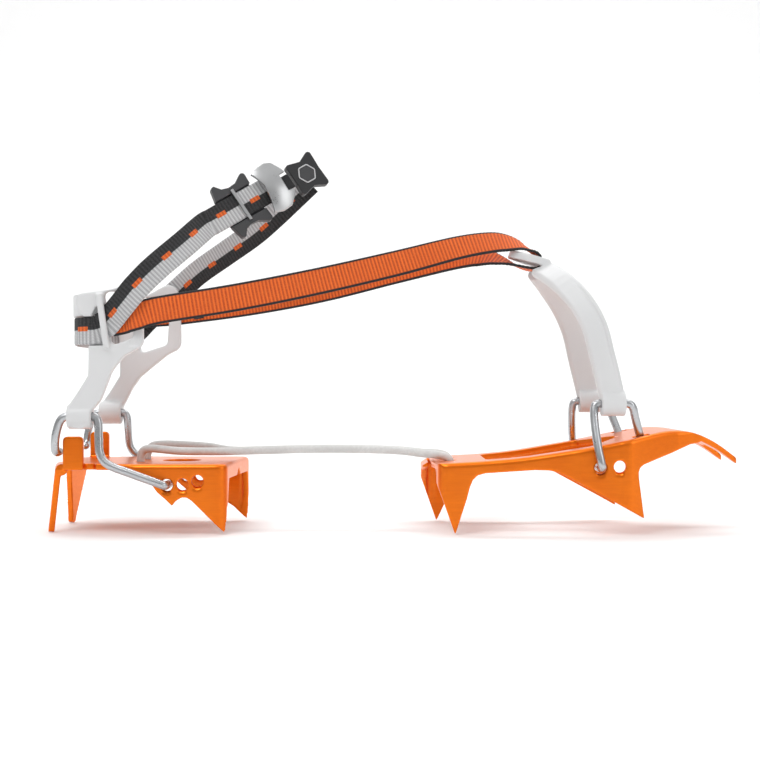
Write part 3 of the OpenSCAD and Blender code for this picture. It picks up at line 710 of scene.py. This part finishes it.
TETHER_RIGHT_W = [
    (0.1, 0, 1), (0, 0, 1), (0, 0, 1), (0, 0, 1), (0, 0, 1), (-0.1, 0, 1), (-0.12, 0, 1),
    (-0.16, 0.1, 1), (-0.2, 0.2, 0.97), (-0.2, 0.4, 0.9), (-0.1, 0.55, 0.83), (0, 0.72, 0.68),
    (0, 0.9, 0.42), (0, 1, 0.1), (0, 1, 0), (0, 1, 0), (0, 1, 0)]
TETHER_LEFT = [
    (-126.2, 34.8, 102), (-122.4, 35.3, 102.4), (-119.2, 36.1, 102.8), (-116.4, 37.7, 103.1),
    (-113, 39.1, 103.4), (-104, 39.6, 104.4), (-70, 36.6, 108.8), (-34, 26, 114.8),
    (2, 14.6, 123), (30, 8.4, 128.8), (42, 5.4, 129), (51, 2.6, 127), (58, 0.8, 124.6),
    (63.5, 0, 123), (67.4, 0, 122.6), (69.4, 0, 123.6)]
TETHER_LEFT_W = [
    (0.1, 0, 1), (0, 0, 1), (0, 0, 1), (0, 0, 1), (0, 0, 1), (-0.1, 0, 1), (-0.12, 0, 1),
    (-0.16, 0, 1), (-0.2, 0.1, 0.97), (-0.2, 0.36, 0.9), (-0.1, 0.66, 0.74), (0, 0.9, 0.42),
    (0, 1, 0.12), (0, 1, 0), (0, 1, 0), (0, 1, 0)]


for side, run, widths, shift, tail in (
        ("right", RUN_RIGHT, RUN_RIGHT_W, 0.0, 15.7),
        ("left", RUN_LEFT, [tuple(-np.array(w)) for w in RUN_LEFT_W], 6.0, 0.0)):
    spans(webbing(f"ankle_webbing_{side}", run, widths, ANKLE, shift, tail),
          f"ankle_strap_{side}")
settle(webbing("heel_webbing", WRAP, [(0, 0, 1)] * len(WRAP), ANKLE), "heel_cradle",
       "ankle_webbing", "heel_wrap_strap")
for side, route, widths in (("right", TETHER_RIGHT, TETHER_RIGHT_W),
                            ("left", TETHER_LEFT, TETHER_LEFT_W)):
    spans(webbing(f"tether_webbing_{side}", route, widths, TETHER),
          f"tether_{side}")

# ---- Bails -------------------------------------------------------------------------

TOE_ARM = [(98.8, -33, 60), (97, -34, 68), (93.6, -34, 82), (90.6, -32.6, 94), (85.6, -28.4, 104.6),
           (79, -21.6, 113.4), (73.4, -13, 119.2), (70.2, -6, 121.8), (69.4, 0, 122.4)]
TOE_LEAN = (0.94, 0, 0.34)

settle(remeshed(copied("heel_bail", WHITE), voxel=0.5, smoothing=9, target=50000),
       "heel_cradle", "white_plastic", "heel_bail")
toe = remeshed(copied("toe_bail", WHITE), voxel=0.5, smoothing=7, target=50000)


GROOVE_FROM, GROOVE_TO = 70, 117        # heights between which the groove runs


def grooved(obj, route, lean, at, width, depth):
    """Presses a shallow groove into the outer face of a bar, `at` millimetres off its middle."""
    line = smooth(route, 8)
    u, v = frames_along(line, [lean] * len(line))
    co = np.empty(len(obj.data.vertices) * 3)
    obj.data.vertices.foreach_get("co", co)
    co = co.reshape(-1, 3) / MM
    near = ((co[:, None] - line[None]) ** 2).sum(2).argmin(1)
    across = ((co - line[near]) * u[near]).sum(1)
    outward = -((co - line[near]) * v[near]).sum(1)
    height = co[:, 2]
    fade = np.clip((height - GROOVE_FROM) / 10, 0, 1) * np.clip((GROOVE_TO - height) / 5, 0, 1)
    push = depth * np.exp(-((across - at) / width) ** 2) * (outward > 0.6) * fade
    co += push[:, None] * v[near]
    obj.data.vertices.foreach_set("co", (co * MM).ravel())
    obj.data.update()


grooved(toe, TOE_ARM + flip_y(TOE_ARM[-2::-1]), TOE_LEAN, at=3.4, width=0.6, depth=0.7)
settle(toe, "toe_hoop", "white_plastic", "toe_bail")

# ---- Slider, buckle, tab and tacks ------------------------------------------------------------------------


def on_run(p, origin):
    """Point with X along the ankle strap, Y across it and Z out of its face."""
    return origin + p[0] * RUN_U + p[1] * RUN_W + p[2] * RUN_V


def rim_ring(name, corners, radius, material):
    """Thin ring in the strap's plane through the corners, each a little cut off."""
    ring = []
    for a, b in zip(corners, corners[1:] + corners[:1]):
        ring += [a + (b - a) * k for k in (0.08, 0.36, 0.64, 0.92)]
    ring = np.array(ring)
    v = np.repeat(RUN_V[None], len(ring), 0)
    return closed_tube(name, ring, np.cross(v, ring_tangents(ring)), v, radius, 10, material)


for node, material, slot, body, voxel, soft in (
        ("ankle_slider", GREY_PLASTIC, "grey_plastic", "slider", 0.22, 4),
        ("slider_bar", METAL, "buckle_metal", "slider", 0.12, 3),
        ("buckle_plate", METAL, "buckle_metal", "ankle_loop", 0.2, 8),
        ("buckle_bar", METAL, "buckle_metal", "ankle_loop", 0.2, 2),
        ("tab_neck", BLACK_CLOTH, "black_webbing", "ankle_loop", 0.2, 3),
        ("pull_tab", BLACK_PLASTIC, "black_plastic", "tab", 0.22, 5),
        ("tab_badge", GREY_PLASTIC, "badge_plastic", "tab", 0.16, 2),
        ("tether_tack_right", BLACK_CLOTH, "black_thread", "heel_section", 0.2, 2),
        ("tether_tack_left", BLACK_CLOTH, "black_thread", "heel_section", 0.2, 2)):
    settle(remeshed(copied(node, material), voxel, soft), body, slot, node)

BADGE_AT = 0.6                  # badge centre along the tab
BADGE_R = 4.5
BADGE_TOP = 2.0
corners = [on_run((BADGE_AT + BADGE_R * math.cos(k * TAU / 6), BADGE_R * math.sin(k * TAU / 6), BADGE_TOP),
                  TAB_AT) for k in range(6)]
settle(rim_ring("badge_rim", corners, 0.3, LIGHT_PLASTIC), "tab", "badge_plastic")

# ---- Floor and light ----------------------------------------------------------------


FLOOR_FRONT, FLOOR_BACK = -2500, 500
FLOOR_HALF_W = 3500
COVE_R = 600
WALL_TOP = 3200


def backdrop():
    """Pale floor that curves up into a wall behind the object."""
    curve = [k * TAU / 48 for k in range(1, 13)]
    profile = [(FLOOR_FRONT, 0), (FLOOR_BACK, 0)]
    profile += [(FLOOR_BACK + COVE_R * math.sin(a), COVE_R - COVE_R * math.cos(a)) for a in curve]
    profile += [(FLOOR_BACK + COVE_R, WALL_TOP)]
    verts = [(x, y, z) for y, z in profile for x in (-FLOOR_HALF_W, FLOOR_HALF_W)]
    faces = [(2 * i, 2 * i + 1, 2 * i + 3, 2 * i + 2) for i in range(len(profile) - 1)]
    obj = make_mesh("floor", verts, faces, None)
    s = Shader("pale_floor").set(Roughness=0.9)
    s.to(Base_Color=s.mix(s.noise(3, 2), (0.90, 0.90, 0.90), (0.93, 0.93, 0.93)))
    obj.data.materials.append(s.material)


def area_light(name, at, aim, size, power):
    data = bpy.data.lights.new(name, "AREA")
    data.shape = "RECTANGLE"
    data.size, data.size_y = size[0] * MM, size[1] * MM
    data.energy = power
    obj = bpy.data.objects.new(name, data)
    obj.location = Vector(at) * MM
    obj.rotation_euler = (Vector(aim) - Vector(at)).to_track_quat("-Z", "Y").to_euler()
    bpy.context.scene.collection.objects.link(obj)


SKY_SLOPE = (-0.1, 0.75)                # the sky brightens between these directions in Z
SKY_STRENGTH = (0.22, 0.85)


def lighting():
    world = bpy.data.worlds.new("studio")
    bpy.context.scene.world = world
    world.use_nodes = True
    tree = world.node_tree
    background = tree.nodes["Background"]
    coord = tree.nodes.new("ShaderNodeTexCoord")
    split = tree.nodes.new("ShaderNodeSeparateXYZ")
    ramp = tree.nodes.new("ShaderNodeMapRange")
    tree.links.new(coord.outputs["Generated"], split.inputs[0])
    tree.links.new(split.outputs[2], ramp.inputs[0])
    for k, value in enumerate((*SKY_SLOPE, *SKY_STRENGTH)):
        ramp.inputs[k + 1].default_value = value
    tree.links.new(ramp.outputs[0], background.inputs["Strength"])
    background.inputs["Color"].default_value = (1, 1, 1, 1)
    area_light("key", (-350, -500, 800), (0, 0, 60), (500, 350), 2.7)
    area_light("fill", (700, -500, 350), (0, 0, 60), (300, 500), 1.0)
    area_light("back", (0, 350, 900), (0, 0, 60), (1200, 300), 2.6)
    area_light("wall", (0, 500, 1500), (0, 1100, 500), (2600, 300), 10)
    bpy.context.scene.view_settings.view_transform = "Standard"


backdrop()
lighting()
